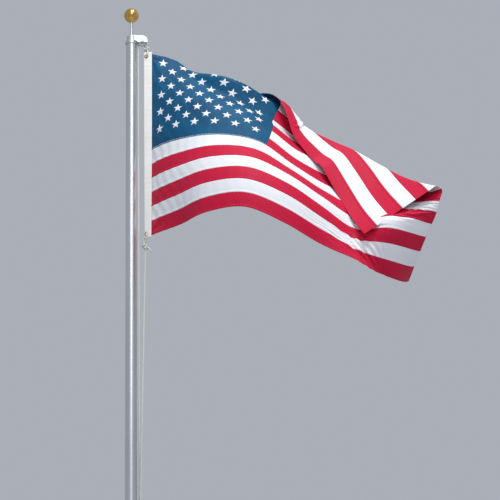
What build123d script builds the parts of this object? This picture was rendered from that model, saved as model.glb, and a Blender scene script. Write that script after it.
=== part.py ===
"""A six-metre aluminium flagpole with its truck, halyard, cleat and sewn flag."""

import math
import os

from build123d import *

os.makedirs("parts", exist_ok=True)

# Driving dimensions, in millimetres. The origin is the middle of the base's underside.
# Pole: a spun aluminium tube with a slight taper over its whole length
pole_length = 6096.0
pole_top_od = 50.8
pole_butt_od = 60.3
pole_wall = 3.2
fit = 0.3
seat_gap = 0.1

# Shoe base: one casting, bolted to its footing
flange_radius = 110.0
flange_thickness = 20.0
shoe_floor = 12.0
shoe_height = 200.0
shoe_lip_wall = 11.0
shoe_foot_wall = 30.0
shoe_waist_wall = 15.0
shoe_waist_height = 110.0
anchor_circle_radius = 88.0
anchor_hole_radius = 9.0
shoe_screw_radius = 5.0
shoe_screw_drop = 35.0
shoe_screw_count = 3
shoe_screw_turn = 60.0
shoe_screw_proud = 5.0

# Truck: the cast cap and arm that carry the sheave and the finial
skirt_wall = 2.6
skirt_depth = 12.0
hub_radius = 22.0
hub_edge = 3.0
rim_height = 2.0
shoulder_height = 6.0
arm_width = 36.0
arm_drop = 6.0
arm_roof = 4.0
arm_end_wall = 1.2
truck_screw_radius = 3.0
truck_screw_count = 3
truck_screw_proud = 0.5

# Halyard and the sheave that it runs over
rope_diameter = 8.0
sheave_pitch_radius = 18.5
sheave_flange = 2.0
sheave_width = 12.0
sheave_side_gap = 0.6
sheave_rise = 2.0
pin_radius = 4.0
pin_head_radius = 7.0
pin_head_height = 4.0
pin_clearance = 0.05
pin_overrun = 2.0
rope_gap = 0.3
rope_flats = 12
knot_radius = 8.0
knot_waist = 6.0
knot_length = 14.0
knot_flats = 10
knot_seat = 0.3
upper_knot_drop = 12.0
lower_knot_drop = 40.0
flag_line_slack = 5.0
haul_lead = 150.0
haul_bend = 2000.0
flag_line_rise = 2550.0
flag_line_bend = 4000.0
belay_bend = 100.0
belay_reach = 40.0
belay_drop = 36.0
belay_gap = 1.0

# Finial: spindle, neck and gilded ball
spindle_radius = 5.4
neck_bottom_radius = 10.5
neck_top_radius = 7.8
neck_height = 30.0
ball_radius = 35.0
ball_rise = 139.0
spindle_seat_depth = 18.0
spindle_reach = 22.0
neck_rim = 3.0
neck_waist_radius = 8.2
neck_waist_height = 13.5

# Cleat, on the side of the pole below the arm
cleat_height = 1350.0
cleat_length = 165.0
cleat_reach = 34.0
cleat_horn_radius = 8.0
cleat_horn_crown = 5.0
cleat_tip_inner = 2.0
cleat_tip_thickness = 10.0
cleat_tip_round = 5.0
cleat_pad_length = 74.0
cleat_pad_width = 24.0
cleat_pad_thickness = 7.0
cleat_stem_length = 34.0
cleat_stem_width = 16.0
cleat_stem_corner = 6.0
cleat_screw_radius = 3.0
cleat_screw_spread = 54.0
cleat_screw_head_radius = 5.0
cleat_screw_head_height = 2.0

# Flag: canvas heading, canton and thirteen sewn stripes
flag_hoist = 914.0
flag_fly = 1524.0
flag_thickness = 2.4
heading_width = 38.0
heading_thickness = 3.0
heading_overhang = 10.0
flag_drop = 61.0
stripe_count = 13
canton_stripes = 7
canton_fly = 609.6
fold_start = 612.0
fold_drop = 495.0
fold_radius = 12.0
wrap_stations = 6
seam_gap = 1.0
cloth_gap = 1.0
grommet_hole_radius = 5.4
grommet_flange_radius = 10.5
grommet_barrel = 1.0
grommet_flange_thickness = 1.0
grommet_inset = 22.0
loop_waist = 4.3
loop_spread = 7.0
loop_rise = 22.0
loop_bend = 14.0
loop_seat = 2.0
cloth_stations = 18

# Places that follow from the sizes above
pole_seat = shoe_floor
pole_top = pole_seat + pole_length
rope_radius = rope_diameter / 2
skirt_radius = pole_top_od / 2 + fit + skirt_wall
haul_x = skirt_radius + rope_gap + rope_radius
sheave_x = haul_x + sheave_pitch_radius
fly_line_x = sheave_x + sheave_pitch_radius
sheave_z = pole_top + sheave_rise
sheave_root_radius = sheave_pitch_radius - rope_radius
sheave_radius = sheave_pitch_radius + sheave_flange
slot_reach = sheave_pitch_radius + rope_radius + rope_gap * 4
slot_width = sheave_width + 2 * sheave_side_gap
arm_top = sheave_z + slot_reach + arm_roof
arm_bottom = pole_top - arm_drop
arm_end_radius = slot_reach + arm_end_wall
ball_z = pole_top + ball_rise
flag_top = pole_top - flag_drop
flag_bottom = flag_top - flag_hoist
stripe_height = flag_hoist / stripe_count


def pole_radius(z):
    """The pole's outer radius at height z."""
    along = (z - pole_seat) / pole_length
    return (pole_butt_od + (pole_top_od - pole_butt_od) * along) / 2


# Pole tube
with BuildPart() as pole_tube:
    with BuildSketch(Plane.XZ):
        with BuildLine():
            Polyline(
                (pole_butt_od / 2 - pole_wall, pole_seat),
                (pole_butt_od / 2, pole_seat),
                (pole_top_od / 2, pole_top),
                (pole_top_od / 2 - pole_wall, pole_top),
                close=True,
            )
        make_face()
    revolve(axis=Axis.Z)
pole_tube.part.label = "pole_tube"
export_step(pole_tube.part, "parts/pole_tube.step")

# Shoe base: a flange, a bell-shaped collar, a closed socket, anchor holes and screw holes
socket_radius = pole_butt_od / 2 + fit
lip_radius = socket_radius + shoe_lip_wall
foot_radius = socket_radius + shoe_foot_wall
shoe_screw_z = shoe_height - shoe_screw_drop
shoe_waist = (socket_radius + shoe_waist_wall, shoe_waist_height)
with BuildPart() as shoe_base:
    with BuildSketch(Plane.XZ):
        with BuildLine():
            Polyline(
                (lip_radius, shoe_height),
                (socket_radius, shoe_height),
                (socket_radius, shoe_floor),
                (0, shoe_floor),
                (0, 0),
                (flange_radius, 0),
                (flange_radius, flange_thickness),
                (foot_radius, flange_thickness),
            )
            Spline(
                (foot_radius, flange_thickness),
                shoe_waist,
                (lip_radius, shoe_height),
                tangents=((-1, 1.2), (0, 1)),
            )
        make_face()
    revolve(axis=Axis.Z)
    with BuildSketch(Plane.XY):
        with PolarLocations(anchor_circle_radius, 4, start_angle=45):
            Circle(anchor_hole_radius)
    extrude(amount=flange_thickness, mode=Mode.SUBTRACT)
    for turn in range(shoe_screw_count):
        angle = shoe_screw_turn + turn * 360 / shoe_screw_count
        outward = Vector(1, 0, 0).rotate(Axis.Z, angle)
        with BuildSketch(Plane(origin=(0, 0, shoe_screw_z), z_dir=outward)):
            Circle(shoe_screw_radius + fit / 2)
        extrude(amount=foot_radius, mode=Mode.SUBTRACT)
shoe_base.part.label = "shoe_base"
export_step(shoe_base.part, "parts/shoe_base.step")

# Shoe set screws: they stop against the pole, a hair proud of the collar
shoe_screw_inner = pole_radius(shoe_screw_z) + fit
shoe_screw_length = lip_radius + shoe_screw_proud - shoe_screw_inner
with BuildPart() as shoe_screws:
    for turn in range(shoe_screw_count):
        angle = shoe_screw_turn + turn * 360 / shoe_screw_count
        outward = Vector(1, 0, 0).rotate(Axis.Z, angle)
        start = outward * shoe_screw_inner + Vector(0, 0, shoe_screw_z)
        with BuildSketch(Plane(origin=start, z_dir=outward)):
            Circle(shoe_screw_radius)
        extrude(amount=shoe_screw_length)
        end = outward * (shoe_screw_inner + shoe_screw_length) + Vector(0, 0, shoe_screw_z)
        with BuildSketch(Plane(origin=end, z_dir=outward)):
            RegularPolygon(shoe_screw_radius / 2, 6)
        extrude(amount=-shoe_screw_radius, mode=Mode.SUBTRACT)
shoe_screws.part.label = "shoe_screws"
export_step(shoe_screws.part, "parts/shoe_screws.step")

# Truck: skirt and hub turned round the pole's top, with the slotted arm on one side
truck_screw_z = pole_top - skirt_depth / 2
with BuildPart() as truck:
    with BuildSketch(Plane.XZ):
        with BuildLine():
            Polyline(
                (0, pole_top),
                (skirt_radius - skirt_wall, pole_top),
                (skirt_radius - skirt_wall, pole_top - skirt_depth),
                (skirt_radius, pole_top - skirt_depth),
                (skirt_radius, pole_top + rim_height),
                (hub_radius, pole_top + shoulder_height),
                (hub_radius, arm_top - hub_edge),
                (hub_radius - hub_edge, arm_top),
                (0, arm_top),
                close=True,
            )
        make_face()
    revolve(axis=Axis.Z)
    with BuildSketch(Plane.XZ.offset(-arm_width / 2)):
        with BuildLine():
            Polyline(
                (sheave_x, arm_top),
                (0, arm_top),
                (0, pole_top + fit),
                (skirt_radius - skirt_wall / 2, pole_top + fit),
                (skirt_radius - skirt_wall / 2, arm_bottom),
                (sheave_x + arm_end_radius, arm_bottom),
                (sheave_x + arm_end_radius, sheave_z),
            )
            ThreePointArc(
                (sheave_x + arm_end_radius, sheave_z),
                (
                    sheave_x + arm_end_radius * math.sin(math.pi / 4),
                    sheave_z + (arm_top - sheave_z) * math.cos(math.pi / 4),
                ),
                (sheave_x, arm_top),
            )
        make_face()
    extrude(amount=arm_width)
    with BuildSketch(Plane.XZ.offset(-slot_width / 2)):
        with Locations((skirt_radius, arm_bottom)):
            Rectangle(
                arm_end_radius * 3,
                sheave_z + slot_reach - arm_bottom,
                align=(Align.MIN, Align.MIN),
            )
    extrude(amount=slot_width, mode=Mode.SUBTRACT)
    with BuildSketch(Plane.XZ.offset(-arm_width)):
        with Locations((sheave_x, sheave_z)):
            Circle(pin_radius + fit / 2)
    extrude(amount=2 * arm_width, mode=Mode.SUBTRACT)
    with BuildSketch(Plane.XY.offset(arm_top)):
        Circle(spindle_radius + fit / 2)
    extrude(amount=-spindle_seat_depth, mode=Mode.SUBTRACT)
    for turn in range(truck_screw_count):
        outward = Vector(-1, 0, 0).rotate(Axis.Z, turn * 360 / truck_screw_count)
        with BuildSketch(Plane(origin=(0, 0, truck_screw_z), z_dir=outward)):
            Circle(truck_screw_radius + fit / 2)
        extrude(amount=2 * skirt_radius, mode=Mode.SUBTRACT)
truck.part.label = "truck"
export_step(truck.part, "parts/truck.step")

# Truck set screws
truck_screw_inner = pole_top_od / 2 + seat_gap
truck_screw_length = skirt_radius - truck_screw_inner + truck_screw_proud
with BuildPart() as truck_screws:
    for turn in range(truck_screw_count):
        outward = Vector(-1, 0, 0).rotate(Axis.Z, turn * 360 / truck_screw_count)
        start = outward * truck_screw_inner + Vector(0, 0, truck_screw_z)
        with BuildSketch(Plane(origin=start, z_dir=outward)):
            Circle(truck_screw_radius)
        extrude(amount=truck_screw_length)
truck_screws.part.label = "truck_screws"
export_step(truck_screws.part, "parts/truck_screws.step")

# Sheave: a grooved wheel on a plain bore
with BuildPart() as sheave:
    with BuildSketch(Plane.XZ):
        with BuildLine():
            groove = rope_radius + rope_gap
            Polyline(
                (-sheave_width / 2, sheave_radius),
                (-sheave_width / 2, pin_radius + pin_clearance),
                (sheave_width / 2, pin_radius + pin_clearance),
                (sheave_width / 2, sheave_radius),
                (groove, sheave_radius),
                (groove, sheave_pitch_radius),
            )
            ThreePointArc(
                (groove, sheave_pitch_radius),
                (0, sheave_pitch_radius - groove),
                (-groove, sheave_pitch_radius),
            )
            Polyline(
                (-groove, sheave_pitch_radius),
                (-groove, sheave_radius),
                (-sheave_width / 2, sheave_radius),
            )
        make_face()
    revolve(axis=Axis.X)
sheave_solid = sheave.part.rotate(Axis.Z, 90).moved(Location((sheave_x, 0, sheave_z)))
sheave_solid.label = "sheave"
export_step(sheave_solid, "parts/sheave.step")

# Sheave pin: a headed pin through both cheeks of the arm
with BuildPart() as sheave_pin:
    with BuildSketch(Plane.XZ.offset(-arm_width / 2 - pin_overrun)):
        with Locations((sheave_x, sheave_z)):
            Circle(pin_radius)
    extrude(amount=arm_width + pin_overrun)
    with BuildSketch(Plane.XZ.offset(arm_width / 2)):
        with Locations((sheave_x, sheave_z)):
            Circle(pin_head_radius)
    extrude(amount=pin_head_height)
sheave_pin.part.label = "sheave_pin"
export_step(sheave_pin.part, "parts/sheave_pin.step")

# Finial: spindle, neck and ball
hub_top = arm_top
spindle_bottom = hub_top - spindle_seat_depth + fit
spindle_top = ball_z - ball_radius + spindle_reach
with BuildPart() as spindle:
    with BuildSketch(Plane.XY.offset(spindle_bottom)):
        Circle(spindle_radius)
    extrude(amount=spindle_top - spindle_bottom)
spindle.part.label = "finial_spindle"
export_step(spindle.part, "parts/finial_spindle.step")

with BuildPart() as neck:
    with BuildSketch(Plane.XZ):
        with BuildLine():
            Polyline(
                (spindle_radius + fit / 2, hub_top + neck_height),
                (spindle_radius + fit / 2, hub_top),
                (neck_bottom_radius, hub_top),
                (neck_bottom_radius, hub_top + neck_rim),
            )
            Spline(
                (neck_bottom_radius, hub_top + neck_rim),
                (neck_waist_radius, hub_top + neck_waist_height),
                (neck_top_radius, hub_top + neck_height),
                tangents=((-1, 1), (0, 1)),
            )
            Line(
                (neck_top_radius, hub_top + neck_height),
                (spindle_radius + fit / 2, hub_top + neck_height),
            )
        make_face()
    revolve(axis=Axis.Z)
neck.part.label = "finial_neck"
export_step(neck.part, "parts/finial_neck.step")

with BuildPart() as ball:
    with Locations((0, 0, ball_z)):
        Sphere(ball_radius)
    with BuildSketch(Plane.XY.offset(spindle_top + fit)):
        Circle(spindle_radius + fit / 2)
    extrude(amount=-ball_radius, mode=Mode.SUBTRACT)
ball.part.label = "finial_ball"
export_step(ball.part, "parts/finial_ball.step")

# Cleat: a pad on the pole, a stem and two horns
cleat_face_x = pole_radius(cleat_height)
cleat_pad_x = cleat_face_x + cleat_pad_thickness
cleat_x = cleat_face_x + cleat_reach
tip_inner_x = cleat_x - cleat_tip_inner
tip_outer_x = tip_inner_x + cleat_tip_thickness
tip_middle_x = (tip_inner_x + tip_outer_x) / 2
with BuildPart() as cleat:
    with BuildSketch(Plane.YZ.offset(0)):
        with Locations((0, cleat_height)):
            SlotOverall(cleat_pad_length, cleat_pad_width, rotation=90)
    extrude(amount=cleat_pad_x)
    with BuildSketch(Plane.YZ.offset(cleat_face_x)):
        with Locations((0, cleat_height)):
            RectangleRounded(cleat_stem_width, cleat_stem_length, cleat_stem_corner)
    extrude(amount=cleat_reach)
    with BuildSketch(Plane.XZ):
        with BuildLine():
            ThreePointArc(
                (tip_inner_x, cleat_height - cleat_length / 2),
                (cleat_x - cleat_horn_radius, cleat_height),
                (tip_inner_x, cleat_height + cleat_length / 2),
            )
            ThreePointArc(
                (tip_inner_x, cleat_height + cleat_length / 2),
                (tip_middle_x, cleat_height + cleat_length / 2 + cleat_tip_round),
                (tip_outer_x, cleat_height + cleat_length / 2),
            )
            ThreePointArc(
                (tip_outer_x, cleat_height + cleat_length / 2),
                (cleat_x + cleat_horn_crown, cleat_height),
                (tip_outer_x, cleat_height - cleat_length / 2),
            )
            ThreePointArc(
                (tip_outer_x, cleat_height - cleat_length / 2),
                (tip_middle_x, cleat_height - cleat_length / 2 - cleat_tip_round),
                (tip_inner_x, cleat_height - cleat_length / 2),
            )
        make_face()
    extrude(amount=cleat_horn_radius, both=True)
    with BuildSketch(Plane.XZ):
        with BuildLine():
            Polyline(
                (0, pole_seat),
                (pole_butt_od / 2 + seat_gap, pole_seat),
                (pole_top_od / 2 + seat_gap, pole_top),
                (0, pole_top),
                close=True,
            )
        make_face()
    revolve(axis=Axis.Z, mode=Mode.SUBTRACT)
    for side in (-1, 1):
        with BuildSketch(Plane.YZ):
            with Locations((0, cleat_height + side * cleat_screw_spread / 2)):
                Circle(cleat_screw_radius + fit / 2)
        extrude(amount=cleat_x * 2, mode=Mode.SUBTRACT)
cleat.part.label = "cleat"
export_step(cleat.part, "parts/cleat.step")

# Cleat screws
with BuildPart() as cleat_screws:
    for side in (-1, 1):
        with BuildSketch(Plane.YZ.offset(cleat_face_x + 2 * seat_gap)):
            with Locations((0, cleat_height + side * cleat_screw_spread / 2)):
                Circle(cleat_screw_radius)
        extrude(amount=cleat_pad_thickness)
        with BuildSketch(Plane.YZ.offset(cleat_pad_x)):
            with Locations((0, cleat_height + side * cleat_screw_spread / 2)):
                Circle(cleat_screw_head_radius)
        extrude(amount=cleat_screw_head_height)
cleat_screws.part.label = "cleat_screws"
export_step(cleat_screws.part, "parts/cleat_screws.step")

# Halyard, from the knot above the flag, over the sheave and down to the cleat
belay_x = (cleat_pad_x + cleat_x - cleat_horn_radius) / 2
belay_y = cleat_stem_width / 2 + rope_radius + belay_gap
belay_top = cleat_height + belay_reach
upper_knot_z = sheave_z - sheave_radius - upper_knot_drop
lower_knot_z = flag_bottom - heading_overhang - lower_knot_drop
lower_knot_x = fly_line_x - flag_line_slack
line_end = knot_length / 2 + knot_seat
fall_end_z = cleat_height + cleat_length / 2


def tube(name, points, radii):
    """A rope along a route of straight runs joined by arcs."""
    with BuildPart() as rope:
        with BuildLine() as route:
            if len(points) > 2:
                FilletPolyline(*points, radius=radii)
            else:
                Line(*points)
        path = route.wire()
        with BuildSketch(Plane(origin=path @ 0, z_dir=path % 0)):
            RegularPolygon(rope_radius, rope_flats)
        sweep(path=path)
    rope.part.label = name
    export_step(rope.part, f"parts/{name}.step")
    print(name, "runs", round(path.length), "mm, volume", round(rope.part.volume))


with BuildPart() as halyard_haul:
    with BuildLine() as haul_route:
        Line((fly_line_x, 0, upper_knot_z + knot_length / 2), (fly_line_x, 0, sheave_z))
        ThreePointArc(
            (fly_line_x, 0, sheave_z),
            (sheave_x, 0, sheave_z + sheave_pitch_radius),
            (haul_x, 0, sheave_z),
        )
        Line((haul_x, 0, sheave_z), (haul_x, 0, sheave_z - haul_lead))
    haul_top = haul_route.wire()
    with BuildSketch(Plane.XY.offset(upper_knot_z + knot_length / 2)):
        with Locations((fly_line_x, 0)):
            RegularPolygon(rope_radius, rope_flats)
    sweep(path=haul_top)
halyard_haul.part.label = "halyard_over_sheave"
export_step(halyard_haul.part, "parts/halyard_over_sheave.step")
print("halyard_over_sheave runs", round(haul_top.length), "mm, volume", round(halyard_haul.part.volume))

tube(
    "halyard_haul_line",
    [
        (haul_x, 0, sheave_z - haul_lead),
        (haul_x, 0, sheave_z - 2 * haul_lead),
        (belay_x, belay_y, fall_end_z),
        (belay_x, belay_y, belay_top),
    ],
    [haul_bend, belay_bend],
)
tube(
    "halyard_flag_line",
    [
        (lower_knot_x, 0, lower_knot_z - line_end),
        (belay_x - rope_radius, -rope_diameter, cleat_height + flag_line_rise),
        (belay_x, -belay_y, fall_end_z),
        (belay_x, -belay_y, belay_top),
    ],
    [flag_line_bend, belay_bend],
)

tube(
    "halyard_belay",
    [
        (belay_x, belay_y, belay_top),
        (belay_x, belay_y, cleat_height - belay_drop),
        (belay_x, -belay_y, cleat_height - belay_drop),
        (belay_x, -belay_y, belay_top),
    ],
    [belay_y - fit, belay_y - fit],
)

# Knots of the halyard, one above and one below the heading: barrels with a few flats
knots = (("upper_knot", fly_line_x, upper_knot_z), ("lower_knot", lower_knot_x, lower_knot_z))
for name, x, z in knots:
    with BuildPart() as knot:
        for drop, radius in ((-1, knot_waist), (-0.4, knot_radius), (0.4, knot_radius), (1, knot_waist)):
            with BuildSketch(Plane.XY.offset(z + drop * knot_length / 2)):
                with Locations((x, 0)):
                    RegularPolygon(radius, knot_flats)
        loft(ruled=True)
    knot.part.label = name
    export_step(knot.part, f"parts/{name}.step")

# Heading: a canvas band with a grommet near each end
heading_left = fly_line_x - 11.0
heading_right = heading_left + heading_width
heading_top = flag_top + heading_overhang
heading_bottom = flag_bottom - heading_overhang
grommet_x = heading_left + grommet_flange_radius + grommet_barrel
loop_y = rope_diameter
grommet_zs = (heading_top - grommet_inset, heading_bottom + grommet_inset)
with BuildPart() as heading:
    with BuildSketch(Plane.XZ):
        with Locations(((heading_left + heading_right) / 2, (heading_top + heading_bottom) / 2)):
            Rectangle(heading_width, heading_top - heading_bottom)
        with Locations(*[(grommet_x, z) for z in grommet_zs]):
            Circle(grommet_hole_radius + grommet_barrel + fit / 2, mode=Mode.SUBTRACT)
    extrude(amount=heading_thickness / 2, both=True)
heading.part.label = "flag_heading"
export_step(heading.part, "parts/flag_heading.step")

grommet_face = heading_thickness / 2 + seat_gap
for name, z in zip(("upper_grommet", "lower_grommet"), grommet_zs):
    with BuildPart() as grommet:
        with BuildSketch(Plane.XZ.offset(-grommet_face)):
            with Locations((grommet_x, z)):
                Circle(grommet_hole_radius + grommet_barrel)
                Circle(grommet_hole_radius, mode=Mode.SUBTRACT)
        extrude(amount=2 * grommet_face)
        for start in (-grommet_face - grommet_flange_thickness, grommet_face):
            with BuildSketch(Plane.XZ.offset(start)):
                with Locations((grommet_x, z)):
                    Circle(grommet_flange_radius)
                    Circle(grommet_hole_radius, mode=Mode.SUBTRACT)
            extrude(amount=grommet_flange_thickness)
    grommet.part.label = name
    export_step(grommet.part, f"parts/{name}.step")


# Loops of the halyard's two ends, each from its knot through a grommet and back
loop_end = knot_length / 2 + loop_seat
loop_ends = (
    ("upper_loop", fly_line_x, upper_knot_z - loop_end, grommet_zs[0], 1),
    ("lower_loop", lower_knot_x, lower_knot_z + loop_end, grommet_zs[1], -1),
)
for name, x, knot_z, hole_z, up in loop_ends:
    tube(
        name,
        [
            (x + loop_waist, -1, knot_z),
            (x + loop_spread, -loop_y, hole_z + up * loop_rise),
            (grommet_x, -loop_y, hole_z),
            (grommet_x, loop_y, hole_z),
            (x - loop_spread, loop_y, hole_z + up * loop_rise),
            (x - loop_waist, 1, knot_z),
        ],
        [loop_bend, loop_y - fit, loop_y - fit, loop_bend],
    )

# Flag: the surface that it takes in the wind. Five lines run along the fly, at the top edge, the three
# quarters between and the bottom edge. Each goes in six straight steps of one length. A step is set by
# two angles in degrees: how far it turns away from the front, and how far it falls.
cloth_steps = (
    ((10, 15), (10, 20), (10, 25), (0, 20), (30, 35), (40, 40)),
    ((-20, 5), (5, 15), (10, 25), (0, 20), (10, 25), (50, 35)),
    ((-45, 2), (-10, 6), (15, 30), (5, 20), (-10, 10), (45, 0)),
    ((-50, -4), (-30, 5), (5, 20), (25, 30), (-10, 15), (45, -5)),
    ((-50, -4), (-40, 0), (0, 20), (15, 25), (25, 15), (55, -5)),
)


def cloth_line(row, steps):
    """The corners of one line along the fly, from the heading out."""
    corner = Vector(heading_right + cloth_gap, 0, flag_top - flag_hoist * row / (len(cloth_steps) - 1))
    corners = [corner]
    for turn, fall in steps:
        turn = math.radians(turn)
        fall = math.radians(fall)
        direction = Vector(math.cos(turn) * math.cos(fall), math.sin(turn) * math.cos(fall), -math.sin(fall))
        corner = corner + direction * (flag_fly / len(steps))
        corners.append(corner)
    return corners


cloth_lines = [cloth_line(row, steps) for row, steps in enumerate(cloth_steps)]


def smooth_curve(points, t):
    """A smooth curve through evenly spaced points, at t from 0 to 1: a cubic on each span."""
    row = [points[0] * 3 - points[1] * 3 + points[2], *points, points[-1] * 3 - points[-2] * 3 + points[-3]]
    span = max(min(int(t * (len(points) - 1)), len(points) - 2), 0)
    x = t * (len(points) - 1) - span
    before, start, end, after = row[span : span + 4]
    bend = before * 2 - start * 5 + end * 4 - after
    twist = start * 3 - before - end * 3 + after
    return start + ((end - before) * x + bend * x**2 + twist * x**3) * 0.5


def hang(u, v):
    """A point of the unfolded flag, u along the fly and v down the hoist."""
    return smooth_curve([smooth_curve(line, u / flag_fly) for line in cloth_lines], v / flag_hoist)


def facing(surface, u, v):
    """The unit normal of a surface at u, v."""
    step = 2.0
    along = surface(u + step, v) - surface(u - step, v)
    down = surface(u, v + step) - surface(u, v - step)
    return down.cross(along).normalized()


# The upper fly corner is folded forward over the front, along a line from the top edge to the fly end
fold_slope = math.atan2(fold_drop, flag_fly - fold_start)
wrap_length = math.pi * fold_radius


def cloth(u, v):
    """A point of the folded flag: flat up to the fold, round it, then back over the front."""
    beyond = (u - fold_start) * math.sin(fold_slope) - v * math.cos(fold_slope)
    if beyond <= 0:
        return hang(u, v)
    turn = min(beyond / fold_radius, math.pi)
    reach = fold_radius * math.sin(turn) - max(beyond - wrap_length, 0)
    u += (reach - beyond) * math.sin(fold_slope)
    v -= (reach - beyond) * math.cos(fold_slope)
    return hang(u, v) + facing(hang, u, v) * fold_radius * (1 - math.cos(turn))


def stations(u_start, v, folded):
    """Places along the fly at height v, closer together where the cloth goes round the fold."""
    if not folded:
        return [u_start + (flag_fly - u_start) * i / cloth_stations for i in range(cloth_stations + 1)]
    crossing = fold_start + v / math.tan(fold_slope)
    wrap = wrap_length / math.sin(fold_slope)
    half = cloth_stations // 2
    places = [u_start + (crossing - u_start) * i / half for i in range(half)]
    if crossing + wrap > flag_fly:
        return places + [min(crossing, flag_fly)]
    places += [crossing + wrap * i / wrap_stations for i in range(wrap_stations)]
    rest = flag_fly - crossing - wrap
    return places + [crossing + wrap + rest * i / half for i in range(half + 1)]


canton_hoist = canton_stripes * stripe_height
canton_rows = 6
canton_columns = 10
surface_points = [
    [
        cloth(canton_fly * i / canton_columns, (canton_hoist - seam_gap) * j / canton_rows)
        for i in range(canton_columns + 1)
    ]
    for j in range(canton_rows + 1)
]
with BuildPart() as canton:
    thicken(Face.make_surface_from_array_of_points(surface_points), amount=flag_thickness / 2, both=True)
canton.part.label = "flag_canton"
export_step(canton.part, "parts/flag_canton.step")

for number in range(1, stripe_count + 1):
    v_start = (number - 1) * stripe_height
    v_end = number * stripe_height - seam_gap
    above_seam = number <= canton_stripes
    u_start = canton_fly + seam_gap if above_seam else 0
    upper_places = stations(u_start, v_start, above_seam)
    lower_places = stations(u_start, v_end, above_seam)
    with BuildPart() as stripe:
        for upper_u, lower_u in zip(upper_places, lower_places):
            upper = cloth(upper_u, v_start)
            lower = cloth(lower_u, v_end)
            middle = facing(cloth, (upper_u + lower_u) / 2, (v_start + v_end) / 2)
            normal = middle * (flag_thickness / 2)
            corners = [upper + normal, upper - normal, lower - normal, lower + normal]
            plane = Plane(origin=upper, x_dir=normal, z_dir=normal.cross(lower - upper))
            with BuildSketch(plane):
                with BuildLine():
                    Polyline(*[plane.to_local_coords(corner) for corner in corners], close=True)
                make_face()
        loft(ruled=True)
    stripe.part.label = f"flag_stripe_{number:02d}"
    export_step(stripe.part, f"parts/flag_stripe_{number:02d}.step")
    print(stripe.part.label, round(stripe.part.volume), stripe.part.is_valid)
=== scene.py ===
# %% [markdown]
# A six-metre aluminium flagpole with its halyard and a sewn flag, dressed for a render.
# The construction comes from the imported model: it is loaded as a fixed frame, in metres, and nothing in it
# is moved. This script gives every part its finish, and replaces the plain soft parts, which are the
# rope, the canvas heading and the cloth, with worked-out surfaces.

# %% Load the frame
import math

import bmesh
import bpy
import numpy as np
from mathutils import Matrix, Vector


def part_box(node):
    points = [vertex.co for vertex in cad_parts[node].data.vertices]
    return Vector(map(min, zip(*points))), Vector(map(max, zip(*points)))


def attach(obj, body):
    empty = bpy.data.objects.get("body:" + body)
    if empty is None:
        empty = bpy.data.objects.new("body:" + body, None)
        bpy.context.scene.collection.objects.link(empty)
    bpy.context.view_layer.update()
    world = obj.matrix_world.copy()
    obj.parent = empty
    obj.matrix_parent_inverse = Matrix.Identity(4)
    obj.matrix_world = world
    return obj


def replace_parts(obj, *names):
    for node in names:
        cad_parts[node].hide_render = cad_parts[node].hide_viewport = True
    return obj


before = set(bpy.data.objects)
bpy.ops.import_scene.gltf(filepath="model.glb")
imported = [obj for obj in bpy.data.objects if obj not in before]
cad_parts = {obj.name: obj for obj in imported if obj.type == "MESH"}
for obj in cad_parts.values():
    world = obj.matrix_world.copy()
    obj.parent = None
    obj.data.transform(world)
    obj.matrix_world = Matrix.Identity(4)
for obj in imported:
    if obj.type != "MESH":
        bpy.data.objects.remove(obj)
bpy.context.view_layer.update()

# %% [markdown]
# The camera comes first. The pole stands a little left of the middle of the picture and leans a hair,
# so the camera looks up from standing height, turned slightly to the right, through a long lens. Aiming
# it at an empty would be shorter, but three named angles also say how far it is rolled. They and the lens
# were calculated from places measured in one photograph.

# %% Camera
picture_px = 500
eye = np.array([0.0, -9.5, 1.6])
focal_px = 2217.9
aim_up, aim_right, aim_roll = np.radians([20.02, 3.264, -1.056])


def camera_axes(up_angle, right_angle, roll):
    """Right, up and forward: forward is turned right, then raised; right and up are rolled about it."""
    forward = np.array([
        math.sin(right_angle) * math.cos(up_angle),
        math.cos(right_angle) * math.cos(up_angle),
        math.sin(up_angle),
    ])
    right = np.array([math.cos(right_angle), -math.sin(right_angle), 0.0])
    up = np.cross(right, forward)
    turned_right = math.cos(roll) * right + math.sin(roll) * up
    turned_up = math.cos(roll) * up - math.sin(roll) * right
    return turned_right, turned_up, forward


camera_data = bpy.data.cameras.new("camera")
camera_data.sensor_width = 36.0
camera_data.lens = focal_px / picture_px * camera_data.sensor_width
camera = bpy.data.objects.new("camera", camera_data)
bpy.context.collection.objects.link(camera)
right, up, forward = camera_axes(aim_up, aim_right, aim_roll)
pose = np.eye(4)
pose[:3, 0], pose[:3, 1], pose[:3, 2], pose[:3, 3] = right, up, -forward, eye
camera.matrix_world = pose.T.tolist()
bpy.context.scene.camera = camera
print("lens", round(camera_data.lens, 1), "mm")

# %% [markdown]
# Every new piece is a surface computed as whole arrays, so a few helpers turn arrays into meshes.
# A grid of points gives its quads by index arithmetic, and a closed shell is two such grids with
# their four rims joined. Its signed volume says whether the faces point outwards. Blender's own
# modelling tools could build the pieces too, but a formula can be read, and changed in one place.

# %% Grids and shells
def grid_quads(rows, columns, first=0):
    """Quads of a grid of points: each joins a point, its right neighbour and the two below them."""
    index = first + np.arange(rows * columns).reshape(rows, columns)
    return np.stack([index[:-1, :-1], index[1:, :-1], index[1:, 1:], index[:-1, 1:]], -1).reshape(-1, 4)


def signed_volume(points, quads):
    """Volume by the divergence theorem: the sum of each triangle's corner triple product over six."""
    a, b, c, d = (points[quads[:, i]] for i in range(4))
    return (np.einsum("ij,ij->i", a, np.cross(b, c)) + np.einsum("ij,ij->i", a, np.cross(c, d))).sum() / 6


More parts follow.
